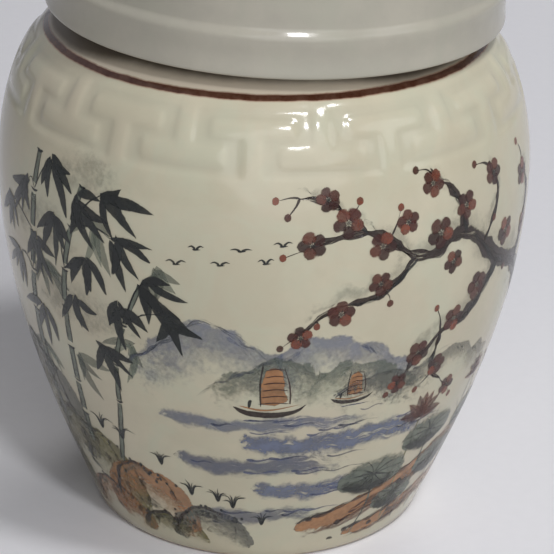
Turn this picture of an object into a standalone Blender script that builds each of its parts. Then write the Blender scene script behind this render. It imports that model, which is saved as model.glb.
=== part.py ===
"""A lidded ceramic jar: a thrown pot with a key fret round its shoulder, and a lid that drops over its neck.

Metres, +Z up. The origin is at the middle of the foot, on the surface that the jar stands on,
and the front is at -Y.
"""
import math

import bmesh
import bpy

# Jar: the belly, the shoulder up to its brown line, and the neck
FOOT_RADIUS = 0.0450
BELLY_RADIUS = 0.0700
BELLY_HEIGHT = 0.0963
SHOULDER_RADIUS = 0.0569
SHOULDER_RISE = 0.0374
NECK_SETBACK = 0.0064
LEDGE_RISE = 0.0052
RIM_RISE = 0.0238
JAR_WALL = 0.0045
NECK_WALL = 0.0040

# How much of the shoulder's drop comes in its last turn towards the neck, and how late it comes
SHOULDER_ROLL_SHARE = 0.29
SHOULDER_ROLL_POWER = 10

# Foot and floor
FLOOR_THICKNESS = 0.0060
FLOOR_CORNER = 0.0080
FOOT_RING_WIDTH = 0.0060
FOOT_RECESS = 0.0030
FOOT_RECESS_SLOPE = 0.0015
FOOT_CHAMFER = 0.0010

# Key fret: interlocking T shapes left standing between sunk channels. It lies on a grid: each repeat
# has its cells round the pot, and its rows share the height of the shoulder.
FRET_REPEATS = 12
FRET_CELLS = 8
FRET_DEPTH = 0.00045
FRET_SLOPE = 0.00050
FRET_TURN = math.radians(-92.5)
FRET_ROW_SHARES = (0.552, 0.616, 0.733, 0.794, 0.894, 0.940)
FRET_SUNK_CELLS = (
    (1, 2, 3, 4, 5, 6, 7),
    (1, 7),
    (1, 2, 3, 5, 6, 7),
    (3, 5),
    (0, 1, 2, 3, 5, 6, 7),
)

# Lid: a skirt round the neck, with a soft ridge, under a domed crown. Its edge stays clear of the ledge
# between the brown line and the neck, by a gap measured at the inside of the skirt.
LID_PLAY = 0.0041
LID_WALL = 0.0045
LID_EDGE_GAP = 0.0036
LID_EDGE_ROUND = 0.0007
LID_SKIRT_HOLLOW = 0.0003
LID_RIDGE_RISE = 0.0104
LID_RIDGE_HEIGHT = 0.0040
LID_RIDGE_PROUD = 0.00045
LID_SETBACK = 0.0012
LID_CORNER = 0.0035
CEILING_RADIUS = 0.1006
CEILING_CORNER = 0.0023
CROWN_THICKNESS = 0.0070

# The ceiling is part of a ball, so a lid that has slid to one side of its play also leans
LID_LEAN = math.radians(1.6)

# Knob
KNOB_RADIUS = 0.0125
KNOB_NECK_RADIUS = 0.0078
KNOB_NECK_HEIGHT = 0.0035
KNOB_FLARE_HEIGHT = 0.0042
KNOB_CAP_HEIGHT = 0.0053

# Fit and resolution
SEAT_GAP = 0.0003
MERGE_DISTANCE = 0.000001
SLOPE_SPAN = 0.0001
LID_STEPS = 64
ARC_STEPS = 3
BELLY_STEPS = 8
WALL_STEPS = 6
SOFT_EDGE = math.radians(35)

# Levels and radii that follow from the sizes above
SHOULDER_HEIGHT = BELLY_HEIGHT + SHOULDER_RISE
RIM_HEIGHT = SHOULDER_HEIGHT + RIM_RISE
NECK_RADIUS = SHOULDER_RADIUS - NECK_SETBACK
RIM_ROUND = NECK_WALL / 2
LEDGE_SLOPE = LEDGE_RISE / NECK_SETBACK
SKIRT_INSIDE = NECK_RADIUS + LID_PLAY
SKIRT_OUTSIDE = SKIRT_INSIDE + LID_WALL
LID_EDGE_HEIGHT = SHOULDER_HEIGHT + LEDGE_SLOPE * (SHOULDER_RADIUS - SKIRT_INSIDE) + LID_EDGE_GAP
BAND_RADIUS = SKIRT_OUTSIDE - LID_SETBACK
CROWN_RADIUS = CEILING_RADIUS + CROWN_THICKNESS


def clear_scene():
    for thing in list(bpy.data.objects):
        bpy.data.objects.remove(thing, do_unlink=True)


def glaze(name, colour, roughness):
    material = bpy.data.materials.new(name)
    material.use_nodes = True
    shader = material.node_tree.nodes["Principled BSDF"]
    shader.inputs["Base Color"].default_value = (*colour, 1)
    shader.inputs["Roughness"].default_value = roughness
    shader.inputs["Metallic"].default_value = 0
    return material


def arc(middle_radius, middle_height, size, start, end, steps=ARC_STEPS):
    """Points of a round corner in the outline's plane; angles run from straight out, upwards."""
    angles = [start + (end - start) * step / steps for step in range(steps + 1)]
    return [(middle_radius + size * math.cos(a), middle_height + size * math.sin(a)) for a in angles]


def belly_radius(height):
    """The pot swells from its foot along a quarter of a sine wave."""
    swell = math.sin(math.pi / 2 * height / BELLY_HEIGHT)
    return FOOT_RADIUS + (BELLY_RADIUS - FOOT_RADIUS) * swell


def shoulder_height(climb_share):
    return BELLY_HEIGHT + SHOULDER_RISE * climb_share


def shoulder_radius(height):
    """The shoulder draws in slowly at first and rolls over near the neck."""
    climb_share = (height - BELLY_HEIGHT) / SHOULDER_RISE
    early = (1 - SHOULDER_ROLL_SHARE) * climb_share**2
    late = SHOULDER_ROLL_SHARE * climb_share**SHOULDER_ROLL_POWER
    return BELLY_RADIUS - (BELLY_RADIUS - SHOULDER_RADIUS) * (early + late)


def outside_radius(height):
    return belly_radius(height) if height <= BELLY_HEIGHT else shoulder_radius(height)


def inside_point(height):
    """The point one wall in from the outside, square to the surface."""
    run = (outside_radius(height + SLOPE_SPAN) - outside_radius(height - SLOPE_SPAN)) / (2 * SLOPE_SPAN)
    length = math.hypot(1, run)
    return (outside_radius(height) - JAR_WALL / length, height + JAR_WALL * run / length)


def jar_inside():
    """From the middle of the floor up to the inside of the neck."""
    floor = FOOT_RECESS + FLOOR_THICKNESS
    wall_start = floor + FLOOR_CORNER
    corner_radius = inside_point(wall_start)[0]
    points = [(0, floor)]
    points += arc(corner_radius - FLOOR_CORNER, wall_start, FLOOR_CORNER, -math.pi / 2, 0)
    for step in range(1, WALL_STEPS + 1):
        points.append(inside_point(wall_start + (BELLY_HEIGHT - wall_start) * step / WALL_STEPS))
    for climb_share in FRET_ROW_SHARES[1::2]:
        points.append(inside_point(shoulder_height(climb_share)))
    points.append(inside_point(SHOULDER_HEIGHT))
    throat_radius = NECK_RADIUS - NECK_WALL
    last_radius, last_height = points[-1]
    points.append((throat_radius, last_height + LEDGE_SLOPE * (last_radius - throat_radius)))
    return points


def jar_rim():
    """The neck's rim is a full round."""
    return arc(NECK_RADIUS - RIM_ROUND, RIM_HEIGHT - RIM_ROUND, RIM_ROUND, math.pi, 0, 2 * ARC_STEPS)


def jar_outside():
    """From the foot of the neck, over the ledge and down to the chamfer at the foot."""
    points = [(NECK_RADIUS, SHOULDER_HEIGHT + LEDGE_RISE), (SHOULDER_RADIUS, SHOULDER_HEIGHT)]
    for climb_share in (*reversed(FRET_ROW_SHARES), FRET_ROW_SHARES[0] / 2):
        height = shoulder_height(climb_share)
        points.append((shoulder_radius(height), height))
    for step in range(BELLY_STEPS, -1, -1):
        height = FOOT_CHAMFER + (BELLY_HEIGHT - FOOT_CHAMFER) * step / BELLY_STEPS
        points.append((belly_radius(height), height))
    return points


def jar_foot():
    """The flat foot ring and the shallow recess inside it."""
    inner = FOOT_RADIUS - FOOT_RING_WIDTH
    return [
        (FOOT_RADIUS - FOOT_CHAMFER, 0),
        (inner, 0),
        (inner - FOOT_RECESS_SLOPE, FOOT_RECESS),
        (0, FOOT_RECESS),
    ]


def turn(outline, steps, start=0.0, base=0.0):
    """Turns an outline of (radius, height) points into a closed solid, as on a wheel."""
    body = bmesh.new()
    across, along = math.cos(start), math.sin(start)
    points = [body.verts.new((radius * across, radius * along, height - base)) for radius, height in outline]
    edges = [body.edges.new(pair) for pair in zip(points, points[1:])]
    bmesh.ops.spin(
        body, geom=points + edges, cent=(0, 0, 0), axis=(0, 0, 1), dvec=(0, 0, 0),
        angle=2 * math.pi, steps=steps, use_merge=True,
    )
    bmesh.ops.remove_doubles(body, verts=body.verts[:], dist=MERGE_DISTANCE)
    bmesh.ops.recalc_face_normals(body, faces=body.faces[:])
    return body


def sunk_faces(body):
    """Faces of the shoulder that lie in the fret's channels, found by their cell on the grid."""
    cell_angle = 2 * math.pi / (FRET_REPEATS * FRET_CELLS)
    bounds = [shoulder_height(climb_share) for climb_share in FRET_ROW_SHARES]
    found = []
    for face in body.faces:
        middle = face.calc_center_median()
        if face.normal.dot((middle.x, middle.y, 0)) <= 0 or not bounds[0] < middle.z < bounds[-1]:
            continue
        row = sum(1 for bound in bounds[1:] if middle.z > bound)
        turned = math.atan2(middle.y, middle.x) - FRET_TURN
        if round(turned / cell_angle) % FRET_CELLS in FRET_SUNK_CELLS[row]:
            found.append(face)
    return found


def finish(body, name, material):
    mesh = bpy.data.meshes.new(name)
    body.to_mesh(mesh)
    body.free()
    mesh.shade_smooth()
    mesh.set_sharp_from_angle(angle=SOFT_EDGE)
    mesh.materials.append(material)
    piece = bpy.data.objects.new(name, mesh)
    bpy.context.scene.collection.objects.link(piece)
    return piece


def make_jar():
    """The pot is turned with an edge on every cell of the fret, and then the channels are pressed in."""
    steps = FRET_REPEATS * FRET_CELLS
    outline = jar_inside() + jar_rim() + jar_outside() + jar_foot()
    body = turn(outline, steps, start=FRET_TURN - math.pi / steps)
    bmesh.ops.inset_region(
        body, faces=sunk_faces(body), thickness=FRET_SLOPE, depth=-FRET_DEPTH, use_even_offset=True,
    )
    return finish(body, "jar", glaze("cream_glaze", (0.56, 0.53, 0.41), 0.18))


def ball_centre():
    """Height of the middle of the ball whose surface is the ceiling, when that rests on the rim."""
    reach = CEILING_RADIUS - RIM_ROUND - SEAT_GAP
    return RIM_HEIGHT - RIM_ROUND - math.sqrt(reach**2 - (NECK_RADIUS - RIM_ROUND) ** 2)


def ball_height(size, radius):
    return ball_centre() + math.sqrt(size**2 - radius**2)


def lid_inside():
    """From the middle of the ceiling out and down to the skirt's edge."""
    dome_edge = SKIRT_INSIDE - CEILING_CORNER
    dome_steps = 2 * ARC_STEPS
    radii = [dome_edge * step / dome_steps for step in range(dome_steps + 1)]
    points = [(radius, ball_height(CEILING_RADIUS, radius)) for radius in radii]
    corner_height = points[-1][1] - CEILING_CORNER
    dome_lean = math.asin(dome_edge / CEILING_RADIUS)
    points += arc(dome_edge, corner_height, CEILING_CORNER, math.pi / 2 - dome_lean, 0)[1:]
    edge_radius = SKIRT_INSIDE + LID_EDGE_ROUND
    points += arc(edge_radius, LID_EDGE_HEIGHT + LID_EDGE_ROUND, LID_EDGE_ROUND, math.pi, math.pi * 3 / 2)
    return points


def crown_lean():
    """How far the crown leans from level where the rounded corner of the side meets it."""
    return math.asin((BAND_RADIUS - LID_CORNER) / (CROWN_RADIUS - LID_CORNER))


def eased(share):
    """Goes from 0 to 1 as the share does, without a crease at either end."""
    return (1 - math.cos(math.pi * share)) / 2


def lid_side():
    """The skirt's outside: a faintly hollow band, a soft ridge, an upright band and a rounded corner."""
    band_foot = LID_EDGE_HEIGHT + LID_EDGE_ROUND
    points = arc(SKIRT_OUTSIDE - LID_EDGE_ROUND, band_foot, LID_EDGE_ROUND, -math.pi / 2, 0)
    ridge_height = LID_EDGE_HEIGHT + LID_RIDGE_RISE
    band_rise = ridge_height - LID_RIDGE_HEIGHT / 2 - band_foot
    for step in range(1, ARC_STEPS):
        hollow = LID_SKIRT_HOLLOW * math.sin(math.pi * step / ARC_STEPS)
        points.append((SKIRT_OUTSIDE - hollow, band_foot + band_rise * step / ARC_STEPS))
    ridge_steps = 2 * ARC_STEPS
    for step in range(ridge_steps + 1):
        climb_share = step / ridge_steps
        side = SKIRT_OUTSIDE - LID_SETBACK * eased(climb_share)
        bulge = LID_RIDGE_PROUD * math.sin(math.pi * climb_share) ** 2
        points.append((side + bulge, ridge_height + LID_RIDGE_HEIGHT * (climb_share - 1 / 2)))
    corner_radius = BAND_RADIUS - LID_CORNER
    corner_height = ball_height(CROWN_RADIUS - LID_CORNER, corner_radius)
    return points + arc(corner_radius, corner_height, LID_CORNER, 0, math.pi / 2 - crown_lean())


def lid_crown():
    """The domed top, from its edge in to the neck of the knob."""
    edge_radius = CROWN_RADIUS * math.sin(crown_lean())
    width = edge_radius - KNOB_NECK_RADIUS
    crown_steps = 2 * ARC_STEPS
    radii = [edge_radius - width * step / crown_steps for step in range(1, crown_steps + 1)]
    return [(radius, ball_height(CROWN_RADIUS, radius)) for radius in radii]


def lid_knob():
    """A button on a short neck, thrown in one with the crown."""
    neck_top = ball_height(CROWN_RADIUS, KNOB_NECK_RADIUS) + KNOB_NECK_HEIGHT
    edge_height = neck_top + KNOB_FLARE_HEIGHT
    points = [(KNOB_NECK_RADIUS, neck_top)]
    cap_steps = 2 * ARC_STEPS
    for step in range(cap_steps):
        angle = math.pi / 2 * step / cap_steps
        points.append((KNOB_RADIUS * math.cos(angle), edge_height + KNOB_CAP_HEIGHT * math.sin(angle)))
    return points + [(0, edge_height + KNOB_CAP_HEIGHT)]


def make_lid():
    """The lid turns about the middle of its ceiling's ball, which leaves its seat on the rim as it was."""
    outline = lid_inside() + lid_side() + lid_crown() + lid_knob()
    body = turn(outline, LID_STEPS, base=ball_centre())
    lid = finish(body, "lid", glaze("grey_glaze", (0.42, 0.41, 0.34), 0.22))
    lid.location.z = ball_centre()
    lid.rotation_euler.y = LID_LEAN
    return lid


clear_scene()
make_jar()
make_lid()
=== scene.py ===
"""A lidded stoneware jar: cream glaze, a key fret, a brushed ink landscape and a grey-glazed lid.

Metres, +Z up, the front at -Y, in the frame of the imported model.
"""
import math
import random

import bmesh
import bpy
from mathutils import Matrix, Vector, noise


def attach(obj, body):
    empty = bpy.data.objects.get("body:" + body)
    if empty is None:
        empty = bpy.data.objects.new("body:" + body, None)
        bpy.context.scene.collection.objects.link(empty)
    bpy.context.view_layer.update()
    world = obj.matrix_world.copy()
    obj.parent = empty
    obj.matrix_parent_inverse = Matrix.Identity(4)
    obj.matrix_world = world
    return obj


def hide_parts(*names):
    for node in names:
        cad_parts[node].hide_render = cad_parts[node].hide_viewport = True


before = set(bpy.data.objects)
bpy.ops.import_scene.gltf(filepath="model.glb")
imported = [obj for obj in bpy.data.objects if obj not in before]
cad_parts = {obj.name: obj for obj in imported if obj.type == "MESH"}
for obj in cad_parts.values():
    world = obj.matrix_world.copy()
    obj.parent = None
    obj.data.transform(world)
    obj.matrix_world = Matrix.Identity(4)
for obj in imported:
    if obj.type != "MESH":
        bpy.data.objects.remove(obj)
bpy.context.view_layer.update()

# The jar: stoneware thrown on a wheel, swelling from a narrow foot and drawn in again to a low neck.
# A key fret is pressed into the clay of its shoulder. The glaze covers all but the foot ring and the
# rim, and an iron-brown line is brushed round the pot where the neck begins.
FOOT_RADIUS = 0.0450
BELLY_RADIUS = 0.0700
BELLY_HEIGHT = 0.0963
SHOULDER_RADIUS = 0.0569
SHOULDER_RISE = 0.0374
SHOULDER_ROLL_SHARE = 0.29
SHOULDER_ROLL_POWER = 10
NECK_SETBACK = 0.0064
LEDGE_RISE = 0.0052
RIM_RISE = 0.0238
JAR_WALL = 0.0045
NECK_WALL = 0.0040
FLOOR_THICKNESS = 0.0060
FLOOR_CORNER = 0.0080
FOOT_RING_WIDTH = 0.0060
FOOT_RECESS = 0.0030
FOOT_RECESS_SLOPE = 0.0015
FOOT_CHAMFER = 0.0010
SHOULDER_HEIGHT = BELLY_HEIGHT + SHOULDER_RISE
RIM_HEIGHT = SHOULDER_HEIGHT + RIM_RISE
NECK_RADIUS = SHOULDER_RADIUS - NECK_SETBACK
RIM_ROUND = NECK_WALL / 2
LEDGE_SLOPE = LEDGE_RISE / NECK_SETBACK

FRET_REPEATS = 12
FRET_CELLS = 8
FRET_DEPTH = 0.00045
FRET_EDGE = 0.00035
FRET_TURN = math.radians(-2.5)
FRET_ROW_SHARES = (0.552, 0.616, 0.733, 0.794, 0.894, 0.940)
FRET_SUNK_CELLS = (
    (1, 2, 3, 4, 5, 6, 7),
    (1, 7),
    (1, 2, 3, 5, 6, 7),
    (3, 5),
    (0, 1, 2, 3, 5, 6, 7),
)
FRET_SMOOTHING = 4

COLUMNS_PER_CELL = 4
TURNED_SLICES = 16
ROW_HEIGHT = 0.0010
BELLY_ROWS = 44
WALL_ROW_HEIGHT = 0.0040
NECK_ROW_HEIGHT = 0.0030
CORNER_STEPS = 6
RIM_STEPS = 10
FRET_REACH = 0.0015
SLOPE_SPAN = 0.0001
MERGE_DISTANCE = 0.000001
GLAZE_SETBACK = 0.00012
WANDER = 0.00009
WANDER_SCALE = 3.2

CREAM = (0.658, 0.608, 0.466, 1)
CREAM_DEEP = (0.588, 0.545, 0.412, 1)
GREENISH_CREAM = (0.590, 0.598, 0.462, 1)
WARM_CREAM = (0.615, 0.545, 0.425, 1)
POOLED_GLAZE = (0.500, 0.480, 0.370, 1)
THIN_GLAZE = (0.820, 0.715, 0.590, 1)
IRON_BROWN = (0.062, 0.014, 0.005, 1)
IRON_HALO = (0.300, 0.130, 0.080, 1)
SPECK_BROWN = (0.085, 0.062, 0.040, 1)
BARE_CLAY = (0.420, 0.310, 0.215, 1)
# The colour of the shade painted on the neck and the upper ledge under the lid.
NECK_SHADE = (0.150, 0.122, 0.092, 1)
LINE_WIDTH = 0.00116
LINE_WAVER = 0.00028
GLAZE_FOOT_EDGE = 0.0015
GLAZE_RIM_EDGE = RIM_HEIGHT - 0.0012
GLAZE_EDGE_BLUR = 0.0003
GLAZE_EDGE_WAVER = 0.0014
GLAZE_BUMP = 0.5
GLAZE_RELIEF = 0.00012
GLAZE_ROUGHNESS = 0.13
GLAZE_IOR = 1.52


def belly_radius(height):
    """The pot swells from its foot along a quarter of a sine wave."""
    return FOOT_RADIUS + (BELLY_RADIUS - FOOT_RADIUS) * math.sin(math.pi / 2 * height / BELLY_HEIGHT)


def shoulder_height(climb_share):
    return BELLY_HEIGHT + SHOULDER_RISE * climb_share


def shoulder_radius(height):
    """The shoulder draws in slowly at first and rolls over near the neck."""
    climb_share = (height - BELLY_HEIGHT) / SHOULDER_RISE
    early = (1 - SHOULDER_ROLL_SHARE) * climb_share**2
    late = SHOULDER_ROLL_SHARE * climb_share**SHOULDER_ROLL_POWER
    return BELLY_RADIUS - (BELLY_RADIUS - SHOULDER_RADIUS) * (early + late)


def outside_radius(height):
    return belly_radius(height) if height <= BELLY_HEIGHT else shoulder_radius(height)


def outside_slope(height):
    """How far the wall runs outwards for each unit of rise."""
    return (outside_radius(height + SLOPE_SPAN) - outside_radius(height - SLOPE_SPAN)) / (2 * SLOPE_SPAN)


def wander(turn, height):
    """How far the thrown wall strays from its true outline, a tenth of a millimetre at most."""
    spot = Vector((math.sin(turn), -math.cos(turn), height / BELLY_RADIUS)) * WANDER_SCALE
    return WANDER * noise.noise(spot) - GLAZE_SETBACK


def skin_point(turn, height, lift=0.0):
    """A point on the glaze. The turn is counted from the front towards +X; lift is square to the wall."""
    slope = outside_slope(height)
    length = math.hypot(1, slope)
    radius = outside_radius(height) + wander(turn, height) + lift / length
    return Vector((radius * math.sin(turn), -radius * math.cos(turn), height - lift * slope / length))


def arc(middle_radius, middle_height, size, start, end, steps):
    """Points of a round corner in the outline's plane; angles run from straight out, upwards."""
    angles = [start + (end - start) * step / steps for step in range(steps + 1)]
    return [(middle_radius + size * math.cos(a), middle_height + size * math.sin(a)) for a in angles]


def rows_between(first, last, row_height):
    """Heights from just past the first to the last, a row apart."""
    count = max(1, round(abs(first - last) / row_height))
    return [first + (last - first) * step / count for step in range(1, count + 1)]


def inside_point(height):
    """The point one wall in from the outside, square to the surface."""
    slope = outside_slope(height)
    length = math.hypot(1, slope)
    return (outside_radius(height) - JAR_WALL / length, height + JAR_WALL * slope / length)


def jar_outline():
    """From the middle of the floor up the inside, over the rim, down the outside and across the foot."""
    floor = FOOT_RECESS + FLOOR_THICKNESS
    wall_start = floor + FLOOR_CORNER
    corner_radius = inside_point(wall_start)[0]
    points = [(corner_radius * step / 6, floor) for step in range(5)]
    points += arc(corner_radius - FLOOR_CORNER, wall_start, FLOOR_CORNER, -math.pi / 2, 0, CORNER_STEPS)
    points += [inside_point(height) for height in rows_between(wall_start, SHOULDER_HEIGHT, WALL_ROW_HEIGHT)]
    last_radius, last_height = points[-1]
    throat_radius = NECK_RADIUS - NECK_WALL
    throat_height = last_height + LEDGE_SLOPE * (last_radius - throat_radius)
    rim_foot = RIM_HEIGHT - RIM_ROUND
    points += [(throat_radius, height) for height in rows_between(throat_height, rim_foot, NECK_ROW_HEIGHT)]
    points += arc(NECK_RADIUS - RIM_ROUND, rim_foot, RIM_ROUND, math.pi, 0, RIM_STEPS)[1:]
    neck_foot = SHOULDER_HEIGHT + LEDGE_RISE
    points += [(NECK_RADIUS, height) for height in rows_between(rim_foot, neck_foot, NECK_ROW_HEIGHT)]
    for share in (0.15, 0.4, 0.7, 0.9):
        points.append((NECK_RADIUS + NECK_SETBACK * share, neck_foot - LEDGE_RISE * share))
    levels = [shoulder_height(share) for share in (1, *reversed(FRET_ROW_SHARES), 0)]
    points.append((SHOULDER_RADIUS, SHOULDER_HEIGHT))
    for above, below in zip(levels, levels[1:]):
        points += [(shoulder_radius(height), height) for height in rows_between(above, below, ROW_HEIGHT)]
    points += [
        (belly_radius(height), height)
        for height in rows_between(BELLY_HEIGHT, FOOT_CHAMFER, BELLY_HEIGHT / BELLY_ROWS)
    ]
    inner = FOOT_RADIUS - FOOT_RING_WIDTH
    points += [(FOOT_RADIUS - FOOT_CHAMFER / 3, FOOT_CHAMFER / 3), (FOOT_RADIUS - FOOT_CHAMFER, 0)]
    points += [(inner, 0), (inner - FOOT_RECESS_SLOPE, FOOT_RECESS)]
    return points + [(inner / 2, FOOT_RECESS), (0, FOOT_RECESS)]


def turned(outline, steps, start=0.0):
    """Turns an outline of (radius, height) points into a closed body: one slice, then its copies."""
    body = bmesh.new()
    across, along = math.sin(start), -math.cos(start)
    points = [body.verts.new((radius * across, radius * along, height)) for radius, height in outline]
    edges = [body.edges.new(pair) for pair in zip(points, points[1:])]
    upright = {"cent": (0, 0, 0), "axis": (0, 0, 1), "dvec": (0, 0, 0)}
    slice_angle = 2 * math.pi / TURNED_SLICES
    bmesh.ops.spin(body, geom=points + edges, angle=slice_angle, steps=steps // TURNED_SLICES, **upright)
    one_slice = body.verts[:] + body.edges[:] + body.faces[:]
    copies = TURNED_SLICES - 1
    bmesh.ops.spin(
        body, geom=one_slice, angle=slice_angle * copies, steps=copies, use_duplicate=True, **upright
    )
    bmesh.ops.remove_doubles(body, verts=body.verts[:], dist=MERGE_DISTANCE)
    bmesh.ops.recalc_face_normals(body, faces=body.faces[:])
    return body


def turn_of(place):
    return math.atan2(place.x, -place.y)


def faces_out(face):
    return face.normal.xy.dot(face.calc_center_median().xy) > 0


def press_fret(body):
    """Sinks the fret's channels, then softens them as the glaze and the wet clay did."""
    depth = body.verts.layers.float.new("sunk")
    cell_angle = 2 * math.pi / (FRET_REPEATS * FRET_CELLS)
    bounds = [shoulder_height(share) for share in FRET_ROW_SHARES]
    sunk = []
    for face in body.faces:
        middle = face.calc_center_median()
        if not bounds[0] < middle.z < bounds[-1] or not faces_out(face):
            continue
        row = sum(1 for bound in bounds[1:] if middle.z > bound)
        if round((turn_of(middle) - FRET_TURN) / cell_angle) % FRET_CELLS in FRET_SUNK_CELLS[row]:
            sunk.append(face)
    bmesh.ops.inset_region(body, faces=sunk, thickness=FRET_EDGE, depth=-FRET_DEPTH, use_even_offset=True)
    lowest = bounds[0] - 3 * ROW_HEIGHT
    highest = bounds[-1] + 1.5 * ROW_HEIGHT
    soft = [
        vert for vert in body.verts
        if lowest < vert.co.z < highest and vert.co.xy.length > outside_radius(vert.co.z) - FRET_REACH
    ]
    for _ in range(FRET_SMOOTHING):
        bmesh.ops.smooth_vert(body, verts=soft, factor=0.5, use_axis_x=True, use_axis_y=True, use_axis_z=True)
    for vert in soft:
        vert[depth] = max(0.0, (outside_radius(vert.co.z) - vert.co.xy.length) / FRET_DEPTH)


def let_wander(body):
    for vert in body.verts:
        radius = vert.co.xy.length
        if radius > MERGE_DISTANCE:
            stray = wander(turn_of(vert.co), vert.co.z) * min(1, radius / FOOT_RADIUS)
            vert.co.xy *= 1 + stray / radius


def thing_from(body, name, material):
    """Puts a shape with its material in the scene."""
    mesh = bpy.data.meshes.new(name)
    body.to_mesh(mesh)
    body.free()
    mesh.materials.append(material)
    thing = bpy.data.objects.new(name, mesh)
    bpy.context.scene.collection.objects.link(thing)
    return thing


def piece_from(body, name, material, body_name):
    """A finished piece, smooth, riding on its body."""
    piece = thing_from(body, name, material)
    piece.data.shade_smooth()
    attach(piece, body_name)
    return piece


def feed(tree, made, sockets):
    """Gives each socket of a node, by place or by name, a number, a colour or the socket that feeds it."""
    for key, value in sockets.items():
        socket = made.inputs[key.replace("_", " ") if isinstance(key, str) else key]
        if isinstance(value, bpy.types.NodeSocket):
            tree.links.new(value, socket)
        else:
            socket.default_value = value


def node(tree, kind, *values, settings=(), **named):
    """Adds a shader node and feeds its sockets, the first ones in order and others by name."""
    made = tree.nodes.new("ShaderNode" + kind)
    for name, value in dict(settings).items():
        setattr(made, name, value)
    feed(tree, made, {**dict(enumerate(values)), **named})
    return made


def tree_of(*values):
    """The shader tree that the first socket among some values belongs to."""
    return next(value.id_data for value in values if isinstance(value, bpy.types.NodeSocket))


def calc(operation, *values):
    return node(tree_of(*values), "Math", *values, settings={"operation": operation}).outputs[0]


def times(*values):
    return calc("MULTIPLY", *values)


def plus(*values):
    return calc("ADD", *values)


def minus(*values):
    return calc("SUBTRACT", *values)


def ramp(value, low, high, from_low=0.0, from_high=1.0):
    """Eases from one number to another as the value passes between two limits."""
    return node(
        tree_of(value), "MapRange", settings={"interpolation_type": "SMOOTHSTEP"},
        Value=value, From_Min=low, From_Max=high, To_Min=from_low, To_Max=from_high,
    ).outputs["Result"]


def tint(share, under, over, blend="MIX"):
    """Lays one colour over another by a share. The mix node has its colour sockets at 6, 7 and 2."""
    tree = tree_of(share, under, over)
    made = node(tree, "Mix", settings={"data_type": "RGBA", "blend_type": blend})
    feed(tree, made, {0: share, 6: under, 7: over})
    return made.outputs[2]


def clouds(place, scale, detail=2.0, roughness=0.5, distortion=0.0):
    return node(
        tree_of(place), "TexNoise", Vector=place, Scale=scale, Detail=detail, Roughness=roughness,
        Distortion=distortion,
    ).outputs["Fac"]


def new_group(name, inputs, outputs):
    tree = bpy.data.node_groups.new(name, "ShaderNodeTree")
    for label, kind in inputs:
        tree.interface.new_socket(label, in_out="INPUT", socket_type=kind)
    for label, kind in outputs:
        tree.interface.new_socket(label, in_out="OUTPUT", socket_type=kind)
    return tree, tree.nodes.new("NodeGroupInput"), tree.nodes.new("NodeGroupOutput")


def glaze_surface():
    """What every glaze here shares: drifts of thick and thin, iron specks and a faintly pitted skin."""
    tree, given, result = new_group(
        "glaze_surface",
        [("Place", "NodeSocketVector"), ("Speck Share", "NodeSocketFloat")],
        [("Drift", "NodeSocketFloat"), ("Specks", "NodeSocketFloat"), ("Height", "NodeSocketFloat")],
    )
    place = given.outputs["Place"]
    broad = clouds(place, 26.0, 3.0, 0.55, 0.4)
    fine = clouds(place, 210.0, 3.0, 0.6)
    drift = plus(times(broad, 0.75), times(fine, 0.25))
    cells = node(tree, "TexVoronoi", Vector=place, Scale=120.0)
    draw = node(tree, "SeparateColor", cells.outputs["Color"]).outputs
    rare = minus(draw[0], minus(1.0, given.outputs["Speck Share"]))
    size = times(calc("MAXIMUM", rare, 0.0), draw[1])
    size = calc("MINIMUM", times(size, 1.6), 0.055)
    ragged = plus(cells.outputs["Distance"], times(fine, 0.03))
    specks = ramp(minus(ragged, size), 0.015, -0.015)
    peel = clouds(place, 700.0, 2.0, 0.5)
    sag = clouds(place, 75.0, 2.0, 0.5)
    height = plus(times(peel, 0.25), sag)
    feed(tree, result, {"Drift": ramp(drift, 0.35, 0.65), "Specks": specks, "Height": height})
    return tree


GLAZE_SURFACE = glaze_surface()


def new_material(name):
    """A material with its own tree, and the place on the piece as the tree's first socket."""
    material = bpy.data.materials.new(name)
    material.use_nodes = True
    tree = material.node_tree
    return material, tree, node(tree, "TexCoord").outputs["Object"]


def glaze_at(place, speck_share):
    group = {"node_tree": GLAZE_SURFACE}
    return node(tree_of(place), "Group", settings=group, Place=place, Speck_Share=speck_share).outputs


def finish_glaze(tree, colour, height, roughness, **named):
    """Puts a glaze's colour, its fine relief and its gloss on the material's own shader."""
    bump = node(tree, "Bump", Strength=GLAZE_BUMP, Distance=GLAZE_RELIEF, Height=height)
    feed(tree, tree.nodes["Principled BSDF"], {
        "Base Color": colour, "Normal": bump.outputs["Normal"], "Roughness": roughness,
        "Metallic": 0.0, "IOR": GLAZE_IOR, **named,
    })


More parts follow.
